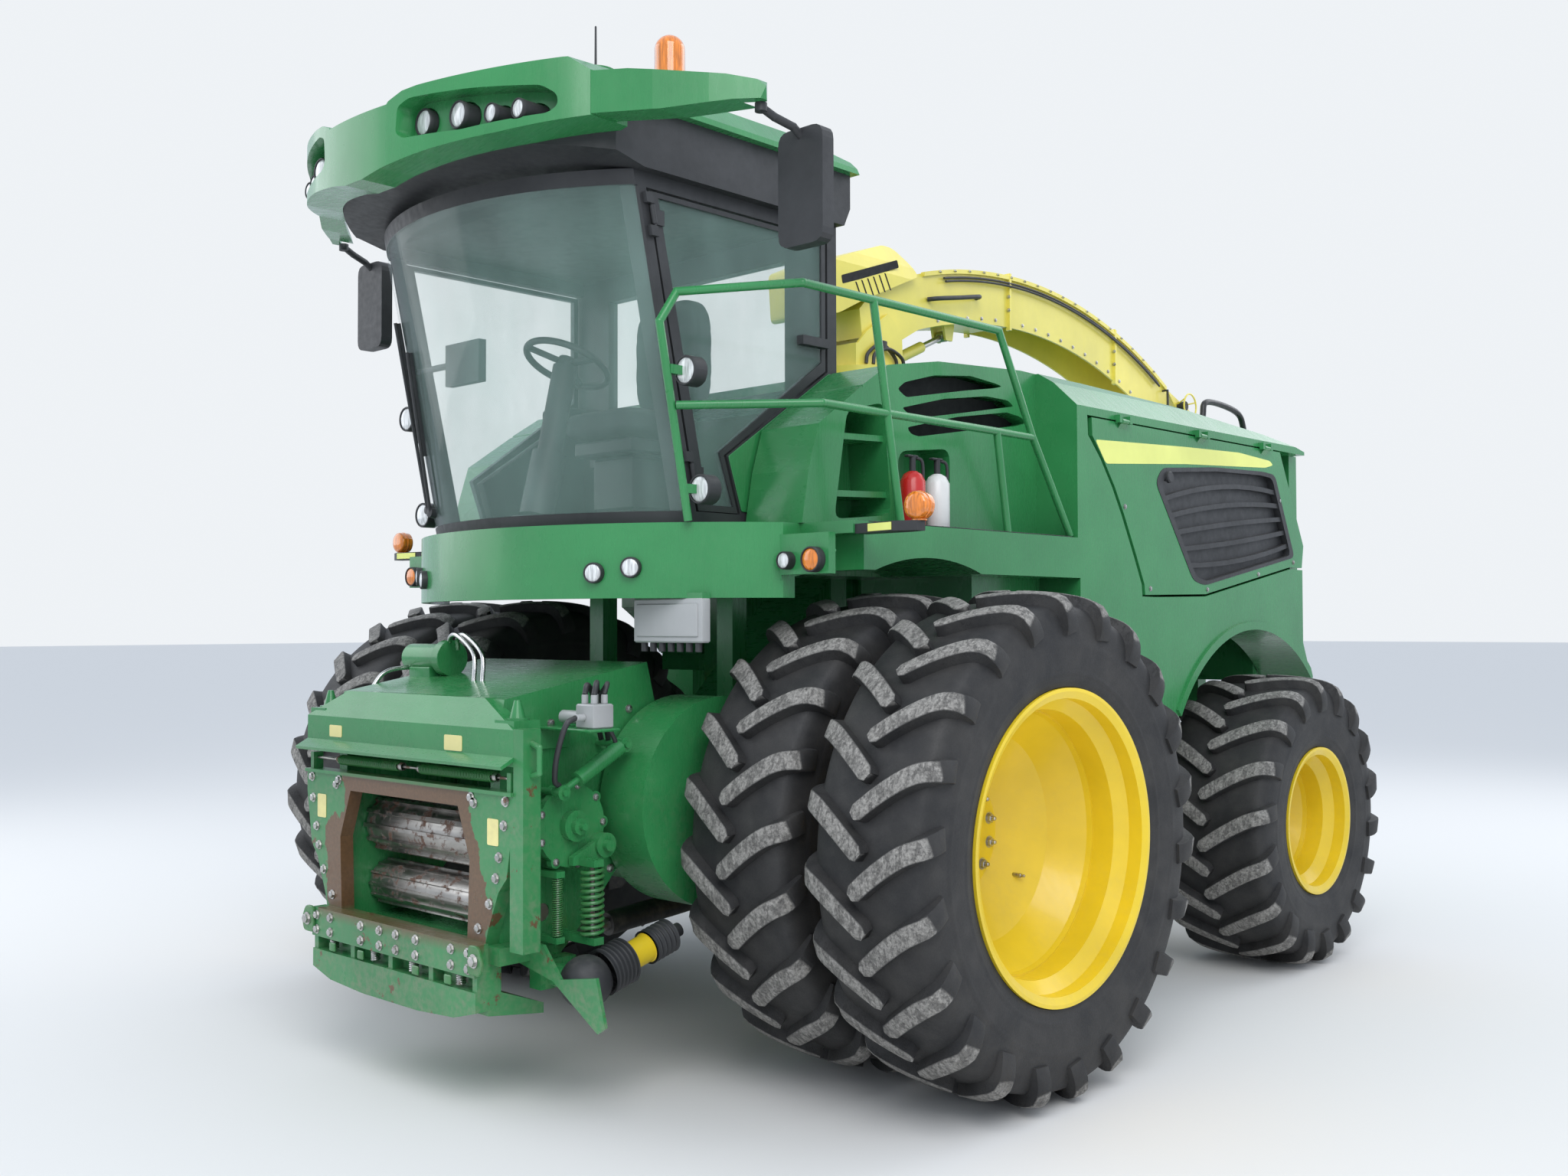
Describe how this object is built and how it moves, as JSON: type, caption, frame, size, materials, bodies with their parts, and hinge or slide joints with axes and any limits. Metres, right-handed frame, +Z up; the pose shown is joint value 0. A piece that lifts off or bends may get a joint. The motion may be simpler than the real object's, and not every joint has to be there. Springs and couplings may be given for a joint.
{
  "type": "forage harvester",
  "caption": "Self-propelled forage harvester with dual front wheels, steered rear wheels, lifting feeder, turning spout and hollow cab.",
  "frame": {"origin": "on the ground, at the centre of the machine's length and width", "axes": "+Z up, -Y forward, +X to the machine's left"},
  "size_m": [4.2456, 6.91, 4.2463],
  "materials": {
    "green_paint": "semi-gloss green paint, dusty",
    "yellow_paint": "semi-gloss yellow paint, dusty",
    "black_paint": "satin black paint",
    "black_plastic": "matt black plastic",
    "steel": "worn steel",
    "tyre_rubber": "dusty black rubber",
    "clear_glass": "clear, lightly tinted",
    "lamp_plastic": "amber and clear lamp lenses",
    "red_paint": "gloss red paint"
  },
  "bodies": {
    "machine": {"chassis_frame": "green_paint", "front_axle": "black_paint", "rear_axle": "black_paint", "engine_block": "black_paint", "cutter_housing": "green_paint", "front_fascia": "green_paint", "cab_frame": "black_paint", "windshield": "clear_glass", "cab_glass": "clear_glass", "cab_window_right": "black_paint", "cab_roof": "green_paint", "roof_lamps": "lamp_plastic", "mirrors": "black_plastic", "seat": "black_plastic", "cab_controls": "black_plastic", "railing": "green_paint", "side_body_left": "green_paint", "side_body_right": "green_paint", "hood": "green_paint", "rear_body": "green_paint", "marker_arms": "lamp_plastic", "extinguishers": "red_paint", "window_glass_right": "clear_glass", "visor_wings": "green_paint", "work_lamps": "lamp_plastic"},
    "feeder": {"feed_housing": "green_paint", "front_plate": "green_paint", "feed_gearcase": "green_paint", "feed_springs": "green_paint", "drive_guard": "black_plastic"},
    "upper_roll": {"upper_feed_roll": "steel"},
    "lower_roll": {"lower_feed_roll": "steel"},
    "lift_barrel_pair": {"lift_barrels": "black_paint"},
    "lift_rod_pair": {"lift_rods": "steel"},
    "cab_door": {"cab_door_left": "black_paint", "door_glass_left": "clear_glass"},
    "left_panel": {"side_panel_left": "green_paint", "louvre_left": "black_plastic"},
    "right_panel": {"side_panel_right": "green_paint", "louvre_right": "black_plastic"},
    "left_knuckle": {"knuckle_left": "black_paint"},
    "right_knuckle": {"knuckle_right": "black_paint"},
    "left_front_wheels": {"front_tyres_left": "tyre_rubber", "front_rims_left": "yellow_paint"},
    "right_front_wheels": {"front_tyres_right": "tyre_rubber", "front_rims_right": "yellow_paint"},
    "left_rear_wheel": {"rear_tyre_left": "tyre_rubber", "rear_rim_left": "yellow_paint"},
    "right_rear_wheel": {"rear_tyre_right": "tyre_rubber", "rear_rim_right": "yellow_paint"},
    "spout_base": {"spout_turret": "yellow_paint"},
    "spout": {"spout_arm": "yellow_paint", "sensor_cover": "yellow_paint"},
    "flap": {"spout_flap": "yellow_paint"},
    "tip": {"spout_tip": "yellow_paint"},
    "jack_barrel": {"spout_barrel": "yellow_paint"},
    "jack_rod": {"spout_rod": "steel"}
  },
  "joints": [
    {"name": "front_left_roll", "type": "hinge", "parent": "machine", "child": "left_front_wheels", "pos_m": [1.2, -1.615, 0.9885], "axis": [1, 0, 0], "continuous": true},
    {"name": "front_right_roll", "type": "hinge", "parent": "machine", "child": "right_front_wheels", "pos_m": [-1.2, -1.615, 0.9885], "axis": [1, 0, 0], "continuous": true},
    {"name": "steer_left", "type": "hinge", "parent": "machine", "child": "left_knuckle", "pos_m": [1.13, 1.315, 0.78], "axis": [0, 0, 1], "range_deg": [-30, 30]},
    {"name": "steer_right", "type": "hinge", "parent": "machine", "child": "right_knuckle", "pos_m": [-1.13, 1.315, 0.78], "axis": [0, 0, 1], "range_deg": [-30, 30]},
    {"name": "rear_left_roll", "type": "hinge", "parent": "left_knuckle", "child": "left_rear_wheel", "pos_m": [1.53, 1.315, 0.78], "axis": [1, 0, 0], "continuous": true},
    {"name": "rear_right_roll", "type": "hinge", "parent": "right_knuckle", "child": "right_rear_wheel", "pos_m": [-1.53, 1.315, 0.78], "axis": [1, 0, 0], "continuous": true},
    {"name": "header_lift", "type": "hinge", "parent": "machine", "child": "feeder", "pos_m": [0, -2.255, 1.12], "axis": [-1, 0, 0], "range_deg": [-8, 22]},
    {"name": "upper_roll_spin", "type": "hinge", "parent": "feeder", "child": "upper_roll", "pos_m": [0, -2.955, 0.985], "axis": [1, 0, 0], "continuous": true},
    {"name": "lower_roll_spin", "type": "hinge", "parent": "feeder", "child": "lower_roll", "pos_m": [0, -2.955, 0.73], "axis": [1, 0, 0], "continuous": true},
    {"name": "lift_barrel_turn", "type": "hinge", "parent": "machine", "child": "lift_barrel_pair", "pos_m": [0.33, -1.865, 0.62], "axis": [-1, 0, 0], "range_deg": [-12, 20]},
    {"name": "lift_rod_slide", "type": "slide", "parent": "lift_barrel_pair", "child": "lift_rod_pair", "axis": [0, -0.9965, -0.083], "range_m": [-0.1, 0.25]},
    {"name": "cab_door_swing", "type": "hinge", "parent": "machine", "child": "cab_door", "pos_m": [0.894, -2.53873, 2.9], "axis": [0, 0.2079, -0.9781], "range_deg": [0, 30]},
    {"name": "left_panel_swing", "type": "hinge", "parent": "machine", "child": "left_panel", "pos_m": [1.47, 0.685, 2.836], "axis": [0, -1, 0], "range_deg": [0, 80]},
    {"name": "right_panel_swing", "type": "hinge", "parent": "machine", "child": "right_panel", "pos_m": [-1.47, 0.685, 2.836], "axis": [0, 1, 0], "range_deg": [0, 80]},
    {"name": "spout_turn", "type": "hinge", "parent": "machine", "child": "spout_base", "pos_m": [0, -0.385, 3.15], "axis": [0, 0, 1], "range_deg": [-110, 110]},
    {"name": "spout_lift", "type": "hinge", "parent": "spout_base", "child": "spout", "pos_m": [0, -0.285, 3.44], "axis": [1, 0, 0], "range_deg": [0, 35]},
    {"name": "spout_barrel_turn", "type": "hinge", "parent": "spout_base", "child": "jack_barrel", "pos_m": [0, -0.185, 3.27], "axis": [1, 0, 0], "range_deg": [-3, 45]},
    {"name": "spout_rod_slide", "type": "slide", "parent": "jack_barrel", "child": "jack_rod", "axis": [0, 0.9158, 0.4017], "range_m": [-0.02, 0.16]},
    {"name": "flap_turn", "type": "hinge", "parent": "spout", "child": "flap", "pos_m": [0, 2.732, 3.47419], "axis": [-1, 0, 0], "range_deg": [0, 40]},
    {"name": "tip_turn", "type": "hinge", "parent": "flap", "child": "tip", "pos_m": [0, 3.078, 3.354], "axis": [-1, 0, 0], "range_deg": [0, 45]}
  ],
  "couplings": [
    {"joint": "steer_right", "follows": "steer_left", "ratio": 1},
    {"joint": "lift_barrel_turn", "follows": "header_lift", "ratio": 0.6006},
    {"joint": "lift_rod_slide", "follows": "header_lift", "m_per_rad": 0.4994},
    {"joint": "spout_barrel_turn", "follows": "spout_lift", "ratio": 0.9695},
    {"joint": "spout_rod_slide", "follows": "spout_lift", "m_per_rad": 0.194},
    {"joint": "tip_turn", "follows": "flap_turn", "ratio": 1.1}
  ]
}
